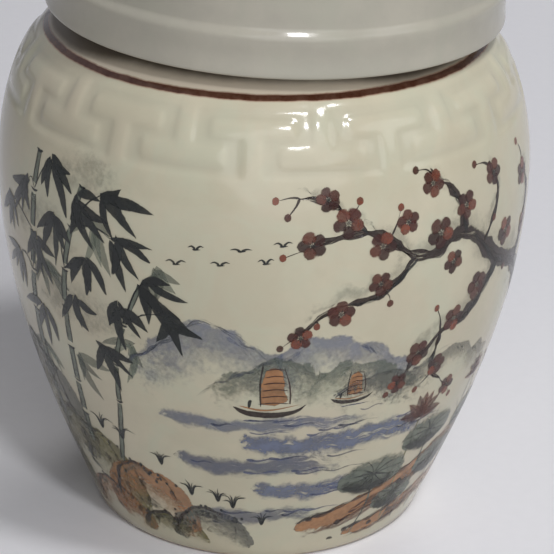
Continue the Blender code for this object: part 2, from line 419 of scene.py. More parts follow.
def jar_glaze():
    material, tree, place = new_material("jar_glaze")
    surface = glaze_at(place, 0.17)
    across, _, height =node(tree, "SeparateXYZ", place).outputs
    sunk = node(tree, "Attribute", settings={"attribute_name": "sunk"}).outputs["Fac"]

    colour = tint(surface["Drift"], CREAM_DEEP, CREAM)
    flush = ramp(clouds(place, 52.0, 4.0, 0.6, 0.6), 0.42, 0.66, 0.0, 0.6)
    colour = tint(flush, colour, GREENISH_CREAM)
    warmth = ramp(clouds(place, 31.0, 4.0, 0.6, 0.5), 0.48, 0.70, 0.0, 0.5)
    colour = tint(warmth, colour, WARM_CREAM)
    colour = tint(ramp(sunk, 0.1, 1.1, 0.0, 0.25), colour, POOLED_GLAZE)

    waver = times(minus(clouds(place, 160.0, 3.0, 0.6), 0.5), LINE_WAVER * 2)
    level = plus(height, waver)
    ledge = ramp(level, SHOULDER_HEIGHT, SHOULDER_HEIGHT + LINE_WIDTH, 0.0, 0.75)
    colour = tint(ledge, colour, THIN_GLAZE)
    # Painted shade: the upper ledge and the neck darken towards the shade colour where the lid's shadow falls, and
    # the dark reaches further down the ledge towards the right and the left.
    climb = calc("DIVIDE", minus(level, SHOULDER_HEIGHT), LEDGE_RISE)
    right = ramp(across, 0.012, 0.036, 0.0, 0.42)
    left = ramp(across, -0.030, -0.050, 0.0, 0.40)
    neck = ramp(plus(climb, plus(right, left)), 0.38, 0.76)
    colour = tint(neck, colour, NECK_SHADE)
    off_line = calc("ABSOLUTE", minus(level, SHOULDER_HEIGHT))
    halo = ramp(off_line, LINE_WIDTH * 0.72, LINE_WIDTH * 0.42, 0.0, 0.8)
    colour = tint(halo, colour, IRON_HALO)
    load = ramp(clouds(place, 320.0, 3.0, 0.6), 0.25, 0.75, 0.82, 1.0)
    line = times(ramp(off_line, LINE_WIDTH * 0.50, LINE_WIDTH * 0.36), load)
    colour = tint(line, colour, IRON_BROWN)
    colour = tint(times(surface["Specks"], 0.8), colour, SPECK_BROWN)

    ragged = plus(height, times(clouds(place, 60.0, 2.0), GLAZE_EDGE_WAVER))
    foot = ramp(ragged, GLAZE_FOOT_EDGE + GLAZE_EDGE_BLUR, GLAZE_FOOT_EDGE)
    rim = ramp(ragged, GLAZE_RIM_EDGE, GLAZE_RIM_EDGE + GLAZE_EDGE_BLUR)
    bare = calc("MAXIMUM", foot, rim)
    clay = tint(clouds(place, 900.0, 3.0, 0.7), BARE_CLAY, THIN_GLAZE)
    colour = tint(bare, colour, clay)

    grit = times(times(clouds(place, 2600.0, 2.0), bare), 0.6)
    dry_clay = ramp(bare, 0.0, 1.0, GLAZE_ROUGHNESS, 0.75)
    smoked_neck = ramp(climb, 0.02, 0.30, GLAZE_ROUGHNESS, 0.45)
    finish_glaze(tree, colour, plus(surface["Height"], grit), calc("MAXIMUM", dry_clay, smoked_neck))
    return material


jar_body = turned(
    jar_outline(), FRET_REPEATS * FRET_CELLS * COLUMNS_PER_CELL,
    start=FRET_TURN - math.pi / (FRET_REPEATS * FRET_CELLS),
)
press_fret(jar_body)
let_wander(jar_body)
jar = piece_from(jar_body, "jar_pot", jar_glaze(), "jar")
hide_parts("jar")

# The hills: the first of the brushed ink marks, a far shore in thin blue and green-grey wash. All the
# painting is oxide brushed on the glaze and fired into it, so each mark is a skin as thin as a hair
# that follows the pot. Marks are placed in millimetres, across from the front and up from the foot.
PAINT_UNIT = 0.001
MARK_STEP = 0.0010
MARK_LANE = 0.0018
FIRST_LAYER = 0.00003
LAYER_GAP = 0.00002
LOWEST_MARK = 0.0024
SQUEEZED_BAND = 0.0040
INK_BLACK = (25, 30, 28)
WARM_BLACK = (46, 32, 26)
RUSSET_DARK = (66, 28, 20)
RUSSET = (106, 56, 40)
OCHRE = (176, 127, 86)
OLIVE = (128, 122, 84)
BLUE_GREY = (108, 118, 146)
SLATE_BLUE = (78, 88, 122)
GREEN_GREY = (112, 120, 108)
STONE_GREY = (118, 118, 110)
HILL_INK = (78, 84, 96)
HILL_CRESTS = (
    (
        ((-36, 64), (-25, 73), (-14, 80), (-4, 75), (6, 70), (16, 77), (27, 73), (38, 66), (48, 62)),
        15, BLUE_GREY, 0.55,
    ),
    (((-14, 61), (-4, 66), (6, 70), (15, 65), (27, 68), (38, 62), (52, 58)), 11, GREEN_GREY, 0.60),
    (((20, 58), (32, 63), (44, 61), (57, 65), (70, 60), (82, 57)), 9, STONE_GREY, 0.55),
)
HILL_FOLDS = 9
PAINTING_SEED = 23


def even(share):
    """A stroke of one width with round ends."""
    return (1 - abs(2 * share - 1) ** 10) ** 0.5


def leaf(share):
    """Pointed at both ends and widest before the middle."""
    return math.sin(math.pi * share**0.75) ** 0.9


def tail(share):
    """Set down full and drawn out to a point."""
    return min(1, share / 0.06) ** 0.5 * (1 - share) ** 0.65


def dab(share):
    return 2 * math.sqrt(max(0, share * (1 - share)))


def taper(first, last):
    """A stroke that changes its width evenly and has round ends."""
    return lambda share: (first + (last - first) * share) * even(share)


def smooth_path(points, count):
    """Places along one smooth curve through the given points."""
    ends = [2 * points[0] - points[1], *points, 2 * points[-1] - points[-2]]
    made = []
    for step in range(count + 1):
        place = step / count * (len(points) - 1)
        start = min(int(place), len(points) - 2)
        t = place - start
        a, b, c, d = ends[start:start + 4]
        square = 2 * a - 5 * b + 4 * c - d
        cube = 3 * b - a - 3 * c + d
        made.append((2 * b + (c - a) * t + square * t**2 + cube * t**3) / 2)
    return made


def linear(colour):
    """A colour given as 0 to 255 on a screen, as light."""
    return [((channel / 255 + 0.055) / 1.055) ** 2.4 for channel in colour]


def new_canvas():
    canvas = bmesh.new()
    canvas.verts.layers.float_vector.new("mark")
    canvas.verts.layers.float.new("reach")
    canvas.verts.layers.float_color.new("ink")
    canvas.verts.layers.float_color.new("edge")
    canvas.verts.layers.float.new("dryness")
    return canvas


def above_foot(height):
    """Squeezes the lowest marks together, so that none runs off the pot's foot."""
    limit = LOWEST_MARK + SQUEEZED_BAND
    squeezed = LOWEST_MARK + SQUEEZED_BAND * math.exp(min(0, height - limit) / SQUEEZED_BAND)
    return height if height > limit else squeezed


def brush(
    canvas, points, width, ink, load=1.0, swell=even, dry=0.0, soft=(0.12, 0.12, 0.02, 0.02), layer=1, shake=0.0
):
    """One mark: a grid bent along a curve and laid on the glaze. The places and the width are in
    paint units; soft is how far the low side, the high side, the start and the end fade."""
    points = [Vector(point) * PAINT_UNIT for point in points]
    width = width * PAINT_UNIT
    length = sum((after - before).length for before, after in zip(points, points[1:]))
    steps = max(6, min(90, round(length / MARK_STEP)))
    lanes = max(2, round(width / MARK_LANE))
    spine = smooth_path(points, steps)
    verts = bmesh.ops.create_grid(canvas, x_segments=steps, y_segments=lanes, size=0.5)["verts"]
    layers = canvas.verts.layers
    seed = chance.random() * 50
    for vert in verts:
        along, across = vert.co.x + 0.5, vert.co.y
        step = round(along * steps)
        ahead = spine[min(step + 1, steps)] - spine[max(step - 1, 0)]
        side = Vector((-ahead.y, ahead.x)).normalized()
        stray = shake * PAINT_UNIT * noise.noise(Vector((along * length / MARK_STEP / 4, across * 2, seed)))
        spot = spine[step] + side * (width * swell(along) * across + stray)
        vert.co = skin_point(spot.x / BELLY_RADIUS, above_foot(spot.y), FIRST_LAYER + LAYER_GAP * layer)
        vert[layers.float_vector["mark"]] = (along, across + 0.5, seed)
        vert[layers.float["reach"]] = along * length
        vert[layers.float_color["ink"]] = (*linear(ink), load)
        vert[layers.float_color["edge"]] = [max(0.01, share) for share in soft]
        vert[layers.float["dryness"]] = dry


def vary(colour, amount):
    """The same pigment, a little thicker or thinner."""
    factor = 1 + amount * (2 * chance.random() - 1)
    return tuple(min(255, channel * factor) for channel in colour)


def brushwork():
    """Fired oxide: its edges, its dry streaks and its pools come from where each point lies in its mark."""
    material, tree, place = new_material("fired_oxide")

    def carried(name):
        return node(tree, "Attribute", settings={"attribute_name": name}).outputs

    mark = node(tree, "SeparateXYZ", carried("mark")["Vector"]).outputs
    ink = carried("ink")
    edge = node(tree, "SeparateColor", carried("edge")["Color"]).outputs
    edge_end = carried("edge")["Alpha"]
    reach = carried("reach")["Fac"]
    dryness = carried("dryness")["Fac"]

    fray = minus(clouds(place, 900.0, 3.0, 0.6), 0.5)
    drift = minus(clouds(place, 170.0, 3.0, 0.6), 0.5)

    def side(share, softness):
        ragged = plus(share, times(fray, calc("MULTIPLY_ADD", softness, 0.8, 0.12)))
        ragged = plus(ragged, times(drift, softness))
        return ramp(ragged, 0.0, softness)

    low = side(mark["Y"], edge[0])
    high = side(minus(1.0, mark["Y"]), edge[1])
    start = side(mark["X"], edge[2])
    end = side(minus(1.0, mark["X"]), edge_end)
    cover = times(times(low, high), times(start, end))

    hairs = node(
        tree, "CombineXYZ", times(reach, 130.0), times(mark["Y"], 7.0), mark["Z"]
    ).outputs[0]
    streak = clouds(hairs, 1.0, 3.0, 0.65)
    wanted = times(dryness, calc("MULTIPLY_ADD", mark["X"], 0.35, 0.45))
    streaked = ramp(minus(streak, wanted), -0.06, 0.10)
    cover = times(times(cover, streaked), ink["Alpha"])

    pools = ramp(clouds(place, 240.0, 4.0, 0.65), 0.25, 0.75, 0.80, 1.22)
    grey = node(tree, "CombineXYZ", pools, pools, pools).outputs[0]
    colour = tint(1.0, ink["Color"], grey, "MULTIPLY")
    cover = times(cover, ramp(pools, 0.8, 1.2, 0.85, 1.0))
    finish_glaze(tree, colour, glaze_at(place, 0.0)["Height"], 0.14, Alpha=cover)
    return material


def hang(canvas, name):
    """Makes a canvas a piece that rides on the jar with the rest of the painting."""
    return piece_from(canvas, name, FIRED_OXIDE, "jar")


FIRED_OXIDE = brushwork()
chance = random.Random(PAINTING_SEED)
between = chance.uniform

canvas = new_canvas()
for layer, (crest, depth, ink, load) in enumerate(HILL_CRESTS):
    middle = [(across, up - depth / 2) for across, up in crest]
    brush(canvas, middle, depth, ink, load, soft=(0.95, 0.06, 0.15, 0.15), layer=layer, shake=2.2)
    ridge = [(across, up - 0.4) for across, up in crest]
    brush(canvas, ridge, 1.3, vary(HILL_INK, 0.15), 0.70, leaf, dry=0.95, layer=layer + 1, shake=1.6)
    for fold in range(HILL_FOLDS):
        first, last = chance.choice(list(zip(crest, crest[1:])))
        share = chance.random()
        across = first[0] + (last[0] - first[0]) * share
        up = first[1] + (last[1] - first[1]) * share - 0.8
        lean = 1 if last[1] < first[1] else -1
        reach = between(4, 8)
        bend = (across + lean * reach * 0.5, up - reach * 0.45)
        brush(
            canvas, [(across, up), bend, (across + lean * reach, up - reach)], between(0.7, 1.6), vary(ink, 0.1),
            0.5, tail, dry=0.9, soft=(0.4, 0.4, 0.1, 0.5), layer=layer + 1, shake=0.5,
        )
hang(canvas, "painted_hills")

# The lake: broad flat strokes of thin blue-grey, with darker ripples drawn over them, and two boats
# under ochre sails. Small geese cross the sky above them.
LAKE_STROKES = (
    ((-30, 50), (-8, 48.5), (14, 49.5), (38, 48), 5.5, BLUE_GREY, 0.62),
    ((-6, 43), (14, 41.5), (38, 43), (66, 41), 8.5, BLUE_GREY, 0.80),
    ((-26, 36), (-6, 34), (12, 35.5), (30, 34), 7.5, SLATE_BLUE, 0.62),
    ((-2, 27), (16, 25.5), (32, 27), (48, 25), 7.0, BLUE_GREY, 0.76),
    ((-20, 17), (-2, 16), (12, 17.5), (24, 16), 6.0, SLATE_BLUE, 0.55),
)
RIPPLES = 30
BOATS = ((2, 53, 1.0), (25, 55.5, 0.62))
GEESE = ((-16, 99), (-10, 95.5), (-5, 99.5), (1, 96.5), (-21, 94.5), (5, 101))

canvas = new_canvas()
for *points, width, ink, load in LAKE_STROKES:
    brush(canvas, points, width, ink, load, dry=0.55, soft=(0.35, 0.30, 0.06, 0.30), layer=0, shake=1.5)
for _ in range(RIPPLES):
    *points, width, ink, load = chance.choice(LAKE_STROKES)
    start = between(points[0][0], points[-1][0] - 8)
    up = points[0][1] + between(-0.6, 0.5) * width
    reach = between(6, 16)
    bends = [(start + reach * 0.3, up - 0.5), (start + reach * 0.65, up + 0.3)]
    brush(
        canvas, [(start, up), *bends, (start + reach, up - 0.2)], between(0.5, 1.0), vary(SLATE_BLUE, 0.25),
        0.65, tail, dry=0.6, layer=1, shake=0.3,
    )
hang(canvas, "painted_lake")


def paint_boat(canvas, across, up, scale):
    """A small river boat: a dark hull, a mast and a battened sail."""
    def put(*points):
        return [(across + x * scale, up + y * scale) for x, y in points]

    sail = put((2.2, 2.5), (1.6, 8), (2.0, 14.5))
    brush(canvas, sail, 8.4 * scale, OCHRE, 0.88, taper(1.0, 0.55), dry=0.25, soft=(0.05, 0.05, 0.02, 0.02),
          layer=2, shake=0.4)
    brush(canvas, put((-1.4, 2.0), (-1.7, 9), (-1.0, 15.6)), 0.5 * scale, WARM_BLACK, 0.95, layer=3)
    for batten in range(6):
        level = 3.0 + batten * 2.1
        half = 4.1 - batten * 0.33
        brush(
            canvas, put((2.0 - half, level), (2.2, level + 0.5), (2.2 + half, level + 0.2)), 0.38 * scale,
            RUSSET_DARK, 0.85, layer=3, shake=0.2,
        )
    brush(canvas, put((6.4, 3.0), (6.2, 8), (4.6, 14.2)), 0.45 * scale, RUSSET_DARK, 0.85, layer=3, shake=0.3)
    hull = put((-9, 2.0), (-5, 0.1), (2, -0.5), (8, 0.6), (11, 2.8))
    brush(canvas, hull, 2.1 * scale, WARM_BLACK, 0.95, leaf, dry=0.2, layer=2)
    brush(canvas, put((-7.5, 2.4), (0, 1.1), (9.5, 2.9)), 0.7 * scale, OCHRE, 0.8, leaf, layer=3)
    brush(canvas, put((-4.6, 1.6), (-4.4, 3.6), (-4.0, 4.4)), 1.1 * scale, INK_BLACK, 0.9, dab, layer=3)
    for _ in range(3):
        start = between(-9, 2)
        brush(
            canvas, put((start, -2 - chance.random()), (start + 4, -2.4), (start + 9, -2.1)), 0.7 * scale,
            SLATE_BLUE, 0.7, tail, dry=0.5, layer=2,
        )


canvas = new_canvas()
for across, up, scale in BOATS:
    paint_boat(canvas, across, up, scale)
hang(canvas, "painted_boats")

canvas = new_canvas()
for across, up in GEESE:
    spread = between(2.0, 2.8)
    rise = between(0.5, 1.2)
    for reach, bend, tip in ((-spread, 1, 0.4), (spread, 1.2, 0.9)):
        wing = [(across, up), (across + reach * 0.5, up + rise * bend), (across + reach, up + rise * tip)]
        brush(canvas, wing, 0.75, INK_BLACK, 0.9, tail)
    brush(canvas, [(across - 0.9, up - 0.1), (across, up), (across + 1.3, up + 0.1)], 0.6, INK_BLACK, 0.9, leaf)
hang(canvas, "painted_geese")

# The bank: boulders in ochre and olive wash, outlined and cracked with a dry dark brush, dotted with
# moss and set with tufts of grass. The bamboo grows from it.
BOULDERS = (
    (-78, 56, 26, 30, STONE_GREY), (-64, 38, 36, 26, OLIVE), (-40, 29, 32, 21, OCHRE),
    (-17, 18, 28, 13, STONE_GREY), (-58, 17, 32, 14, OCHRE), (-32, 13, 26, 10, OLIVE),
    (-88, 26, 26, 20, STONE_GREY), (-104, 14, 26, 9, OLIVE),
)
BOULDER_CREST = ((-1, 0.75), (-0.7, 0.25), (-0.25, 0), (0.15, 0.12), (0.6, 0.2), (1, 0.8))
BOULDER_CRACKS = 9
MOSS_DOTS = 14
TUFTS = (
    (-52, 37), (-44, 36), (-31, 31), (-22, 22), (-8, 19), (-66, 22), (-13, 21), (2, 13), (-94, 27),
    (-108, 13), (-116, 8),
)
BLADES = 9
TUFT_SIZE = 6.5


def paint_boulder(canvas, across, top, width, height, ink):
    """A boulder, from the top of its crest: wash first, then outline, cracks and moss."""
    half = width / 2
    crest = [
        (across + half * x + between(-1, 1), top - height * fall + between(-1, 1)) for x, fall in BOULDER_CREST
    ]
    middle = [(x, y - height * 0.36) for x, y in crest]
    brush(canvas, middle, height * 0.78, ink, 0.80, soft=(0.80, 0.04, 0.03, 0.05), dry=0.2, layer=0, shake=1.2)
    brush(canvas, crest, 1.7, WARM_BLACK, 0.88, taper(1.0, 0.5), dry=0.75, layer=2, shake=0.9)
    shade = [(x + 0.5, y - 1.6) for x, y in crest[1:]]
    brush(canvas, shade, 2.6, vary(GREEN_GREY, 0.2), 0.5, tail, dry=0.8, soft=(0.5, 0.3, 0.1, 0.3), layer=1,
          shake=0.9)
    for slab in (0.30, 0.62):
        foot = [(x + 1.5, y - height * slab) for x, y in crest[2:5]]
        brush(canvas, foot, height * 0.30, vary(INK_BLACK, 0.3), 0.72, taper(0.9, 0.3), dry=0.98,
              soft=(0.5, 0.15, 0.05, 0.3), layer=1, shake=1.2)
    for _ in range(BOULDER_CRACKS):
        x, y = chance.choice(crest[1:-1])
        x += between(-0.12, 0.12) * width
        y -= between(0.05, 0.25) * height
        fall = between(0.25, 0.55) * height
        lean = between(-0.5, 0.5) * fall
        brush(
            canvas, [(x, y), (x + lean * 0.2 + 0.6, y - fall * 0.4), (x + lean, y - fall)], between(0.8, 2.6),
            vary(WARM_BLACK, 0.2), 0.8, tail, dry=0.9, layer=2, shake=0.7,
        )
    for _ in range(MOSS_DOTS):
        x, y = chance.choice(crest[1:-1])
        x += between(-0.14, 0.14) * width
        y += between(-1.6, 0.9)
        brush(
            canvas, [(x - 0.5, y), (x, y + 0.1), (x + 0.6, y + 0.15)], between(0.8, 1.5), INK_BLACK,
            between(0.7, 0.95), dab, layer=3, shake=0.2,
        )


def paint_tuft(canvas, across, up):
    """Grass drawn upwards from one root."""
    for blade in range(BLADES):
        lean = (blade / (BLADES - 1) - 0.5) * 1.7 + between(-0.12, 0.12)
        reach = TUFT_SIZE * between(0.7, 1.1)
        tip = (across + math.sin(lean) * reach, up + math.cos(lean) * reach * 0.85)
        bend = (across + math.sin(lean) * reach * 0.35, up + reach * 0.55)
        brush(canvas, [(across + lean * 0.3, up), bend, tip], 0.65, vary(INK_BLACK, 0.2), 0.92, tail, dry=0.2,
              layer=3)


canvas = new_canvas()
for boulder in BOULDERS:
    paint_boulder(canvas, *boulder)
for across, up in TUFTS:
    paint_tuft(canvas, across, up)
hang(canvas, "painted_bank")

# The bamboo: three stalks drawn joint by joint with a flat brush, thin twigs, and leaves that are each
# one press and lift of a pointed brush. Paler leaves lie behind, as if in mist.
BAMBOO_STALKS = (
    (((-75, 33), (-73, 60), (-68, 88), (-66, 114)), 3.3, 7),
    (((-60, 30), (-57, 55), (-55, 82), (-48, 110)), 2.7, 7),
    (((-47, 28), (-42, 46), (-39, 66), (-30, 88)), 2.0, 5),
)
LEAF_SPRAYS = (
    (-60, 112, -60, 5), (-70, 104, -120, 5), (-50, 105, -45, 6), (-42, 108, -20, 4), (-57, 98, -95, 5),
    (-38, 98, -50, 5), (-66, 90, -75, 5), (-47, 90, -100, 5), (-30, 88, -40, 6), (-76, 82, -130, 5),
    (-36, 80, -85, 5), (-52, 78, -70, 4), (-24, 80, -60, 4), (-66, 70, -110, 4), (-45, 66, -60, 4),
    (-82, 96, -100, 5),
)
PALE_SPRAYS = (
    (-64, 84, -60, 5), (-44, 101, -90, 5), (-34, 70, -110, 5), (-72, 58, -80, 5), (-54, 60, -50, 4),
    (-26, 92, -80, 5),
)
LEAF_LENGTH = (9.5, 16.5)
LEAF_WIDTH = (2.2, 3.4)
MIST = (
    ((-82, 92), (-66, 96), (-46, 90)),
    ((-70, 70), (-52, 76), (-30, 70)),
    ((-60, 108), (-48, 112), (-34, 106)),
)
PATH_STEPS = 60


def point_on(points, share):
    """The place a share of the way along a stroke, and the direction there."""
    path = smooth_path([Vector(point) for point in points], PATH_STEPS)
    place = min(PATH_STEPS - 1, int(share * PATH_STEPS))
    return path[place], (path[place + 1] - path[place]).normalized()


def nearest(places, across, up):
    return min(places, key=lambda place: (place - Vector((across, up))).length)


def waist(share):
    """A stroke that is a little narrower in the middle, as a bamboo's stalk is between its joints."""
    return 0.86 + 0.55 * (share - 0.5) ** 2


def paint_stalk(canvas, points, width, joints):
    for joint in range(joints):
        first, last = joint / joints, (joint + 1) / joints
        middle = (first + last) / 2
        spots = [point_on(points, share)[0] for share in (first + 0.012, middle, last - 0.008)]
        thickness = width * (1 - 0.35 * middle)
        brush(canvas, spots, thickness, GREEN_GREY, 0.85, waist, dry=0.35, soft=(0.06, 0.06, 0.01, 0.01),
              layer=1, shake=0.25)
        for side in (-1, 1):
            along = point_on(points, middle)[1]
            shift = Vector((-along.y, along.x)) * side * thickness * 0.40
            edge = [spot + shift for spot in spots]
            brush(canvas, edge, thickness * 0.26, INK_BLACK, 0.85, dry=0.65, layer=2, shake=0.3)
        place, along = point_on(points, last)
        across = Vector((-along.y, along.x)) * thickness * 0.72
        brush(canvas, [place - across, place - along * 0.5, place + across], 0.75, INK_BLACK, 0.95, leaf, layer=3)


def paint_spray(canvas, across, up, heading, leaves, ink, load, layer):
    """Leaves that hang from one twig end, fanned about its heading in degrees."""
    root = Vector((across, up))
    for number in range(leaves):
        fan = (number / (leaves - 1) - 0.5) * 95 + between(-9, 9)
        angle = math.radians(heading + fan)
        length = between(*LEAF_LENGTH) * (1 - 0.25 * abs(fan) / 50)
        ahead = Vector((math.cos(angle), math.sin(angle)))
        bend = Vector((ahead.y, -ahead.x)) * between(-1.2, 1.2)
        start = root + Vector((between(-1.4, 1.4), between(-1.2, 1.2)))
        press = [start, start + ahead * length * 0.5 + bend, start + ahead * length]
        brush(
            canvas, press, between(*LEAF_WIDTH), vary(ink, 0.25), load, leaf, dry=0.30,
            soft=(0.08, 0.08, 0.02, 0.05), layer=layer, shake=0.3,
        )


canvas = new_canvas()
for points in MIST:
    brush(canvas, points, 15, STONE_GREY, 0.34, dab, soft=(0.7, 0.7, 0.3, 0.4), layer=0, shake=4)
for spray in PALE_SPRAYS:
    paint_spray(canvas, *spray, GREEN_GREY, 0.55, 0)
for points, width, joints in BAMBOO_STALKS:
    paint_stalk(canvas, points, width, joints)
knots = [
    point_on(points, joint / joints)[0] for points, _, joints in BAMBOO_STALKS for joint in range(2, joints)
]
for across, up, heading, leaves in LEAF_SPRAYS:
    near = nearest(knots, across, up - 7)
    middle = (near + Vector((across, up))) / 2 + Vector((0, 1.5))
    brush(canvas, [near, middle, (across, up)], 0.55, INK_BLACK, 0.9, taper(1.0, 0.7), layer=3, shake=0.4)
    paint_spray(canvas, across, up, heading, leaves, INK_BLACK, 0.95, 4)
hang(canvas, "painted_bamboo")

# The plum: an old branch in dry warm black that comes in from the right and droops, with young twigs,
# russet blossom of five dabs each, round buds and a few fallen petals.
PLUM_BRANCHES = (
    (
        ((121, 14), (117, 34), (110, 50), (100, 64), (86, 78), (70, 86), (56, 97), (42, 94), (26, 103), (10, 100)),
        10.0, 0.10,
    ),
    (((72, 85), (62, 74), (50, 70), (40, 60)), 4.4, 0.20),
    (((56, 97), (52, 108), (44, 115)), 3.2, 0.25),
    (((40, 94.5), (30, 86), (19, 84), (9, 77)), 3.0, 0.22),
    (((86, 78), (92, 94), (86, 108)), 4.0, 0.25),
    (((26, 103), (18, 110), (8, 113)), 1.3, 0.4),
    (((51, 70), (50, 60), (58, 52)), 1.3, 0.4),
    (((64, 92), (70, 103), (66, 112)), 1.5, 0.4),
    (((113, 44), (126, 58), (132, 76), (128, 92)), 4.2, 0.20),
    (((127, 60), (140, 66), (148, 78)), 2.2, 0.30),
)
BLOSSOMS = (
    (12, 101, 3.3), (21, 106, 3.6), (30, 99, 3.4), (37, 104, 3.0), (47, 99, 3.8), (45, 112, 3.2),
    (56, 104, 3.4), (63, 80, 3.6), (55, 73, 3.4), (44, 66, 3.4), (39, 58, 2.8), (20, 82, 3.4),
    (10, 76, 3.0), (30, 89, 3.0), (68, 109, 3.2), (75, 91, 3.7), (86, 103, 3.4), (90, 88, 3.2),
    (52, 60, 3.0), (60, 51, 2.8), (16, 112, 2.8), (52, 90, 3.0), (124, 62, 3.4), (134, 72, 3.2),
    (129, 90, 3.4), (147, 79, 3.0), (139, 64, 2.8), (106, 70, 3.2), (123, 80, 2.8),
)
BLOSSOM_GROWTH = 1.15
BUDS = (
    (5, 98), (3, 112), (6, 108), (40, 116), (5, 73), (14, 79), (36, 55), (46, 54), (63, 47), (60, 113),
    (24, 111), (33, 83), (83, 112), (35, 108), (48, 78), (68, 97), (77, 80), (125, 98), (136, 84),
    (151, 72), (120, 72),
)


def paint_blossom(canvas, across, up, size):
    turn = between(0, 2 * math.pi)
    middle = Vector((across, up))
    for petal in range(5):
        angle = turn + 2 * math.pi * petal / 5
        out = Vector((math.cos(angle), math.sin(angle)))
        shade = vary(RUSSET if petal % 2 else RUSSET_DARK, 0.25)
        press = [middle + out * size * reach for reach in (0.12, 0.55, 1)]
        brush(
            canvas, press, size * 0.92, shade, 0.86, dab, dry=0.15, soft=(0.16, 0.16, 0.05, 0.10),
            layer=3 + petal % 2, shake=0.4,
        )
    for hair in range(7):
        angle = turn + 2 * math.pi * hair / 7
        out = Vector((math.cos(angle), math.sin(angle)))
        thread = [middle + out * size * reach for reach in (0, 0.22, 0.42)]
        brush(canvas, thread, 0.32, INK_BLACK, 0.9, tail, layer=6)


canvas = new_canvas()
for points, width, thin in PLUM_BRANCHES:
    swell = taper(1.0, thin)
    haze = [(x - 1, y + 2) for x, y in points]
    brush(canvas, haze, width * 2.4, STONE_GREY, 0.30, swell, soft=(0.6, 0.6, 0.2, 0.3), layer=0, shake=3)
    brush(canvas, points, width, WARM_BLACK, 0.95, swell, dry=0.50, layer=1, shake=1.6)
    dark_side = [(x + 0.3, y - 0.5) for x, y in points]
    brush(canvas, dark_side, width * 0.4, INK_BLACK, 0.9, swell, dry=0.8, layer=2, shake=0.9)
twig_roots = [point_on(points, step / 20)[0] for points, _, _ in PLUM_BRANCHES for step in range(2, 20)]
for across, up in BUDS:
    near = nearest(twig_roots, across, up)
    middle = (near + Vector((across, up))) / 2 + Vector((0.6, 0.4))
    brush(canvas, [near, middle, (across, up)], 0.6, WARM_BLACK, 0.92, tail, layer=2, shake=0.3)
    brush(canvas, [(across, up - 1), (across, up), (across, up + 1.1)], 2.0, vary(RUSSET, 0.3), 0.9, dab, layer=3)
for across, up, size in BLOSSOMS:
    paint_blossom(canvas, across, up, size * BLOSSOM_GROWTH)
hang(canvas, "painted_plum")

# The sandbank: a low spit in ochre wash with a russet shadow side, a dry dark outline and pebbles. It
# ends in boulders at the foot of the plum.
SANDBANKS = (
    (((14, 11), (30, 14), (52, 20), (76, 27), (98, 30)), 12.0),
    (((34, 6), (52, 8), (74, 12), (96, 14)), 9.0),
)
PEBBLES = 16
END_BOULDERS = ((104, 37, 30, 24, OLIVE), (122, 24, 32, 16, STONE_GREY), (140, 13, 22, 8, OCHRE))
END_TUFTS = ((108, 36), (128, 24), (138, 14), (148, 8))

canvas = new_canvas()
for points, width in SANDBANKS:
    brush(canvas, points, width, OCHRE, 0.86, taper(0.45, 1.0), dry=0.30, soft=(0.25, 0.06, 0.03, 0.05),
          layer=0, shake=1.5)
    shadow = [(x + 2, y - width * 0.26) for x, y in points]
    brush(canvas, shadow, width * 0.45, RUSSET, 0.62, taper(0.4, 1.0), dry=0.70, soft=(0.3, 0.5, 0.1, 0.1),
          layer=1, shake=1.2)
    crest = [(x, y + width * (0.22 + 0.24 * place / 4)) for place, (x, y) in enumerate(points)]
    brush(canvas, crest, 1.5, WARM_BLACK, 0.88, taper(1.0, 0.6), dry=0.80, layer=2, shake=1.0)
    for share in (0.25, 0.5, 0.75):
        streak = [(x + 6 * share, y + width * (share - 0.55) * 0.6) for x, y in points[1:]]
        brush(canvas, streak, 1.1, vary(RUSSET_DARK, 0.3), 0.75, tail, dry=0.85, layer=2, shake=0.9)
for _ in range(PEBBLES):
    (x, y), width = chance.choice([(place, width) for points, width in SANDBANKS for place in points])
    x += between(-8, 8)
    y += between(-0.3, 0.3) * width
    pebble = [(x - 1.2, y), (x, y + 0.3), (x + 1.4, y)]
    brush(canvas, pebble, between(1.2, 2.4), vary(WARM_BLACK, 0.3), 0.8, dab, dry=0.5, layer=3, shake=0.3)
for boulder in END_BOULDERS:
    paint_boulder(canvas, *boulder)
for across, up in END_TUFTS:
    paint_tuft(canvas, across, up)
hang(canvas, "painted_sandbank")

# The lotus: round leaves in green-grey wash with dark ribs, standing in the shallows among reeds, with
# one open flower and a bud.
LOTUS_LEAVES = (
    (40, 27, 13.5, 6.6), (60, 36, 12.0, 6.0), (72, 24, 12.5, 6.0), (54, 16, 10.5, 4.8), (86, 34, 11.0, 5.5),
)
LOTUS_RIBS = 11
REEDS = 9
REED_ROOT = (88, 8)


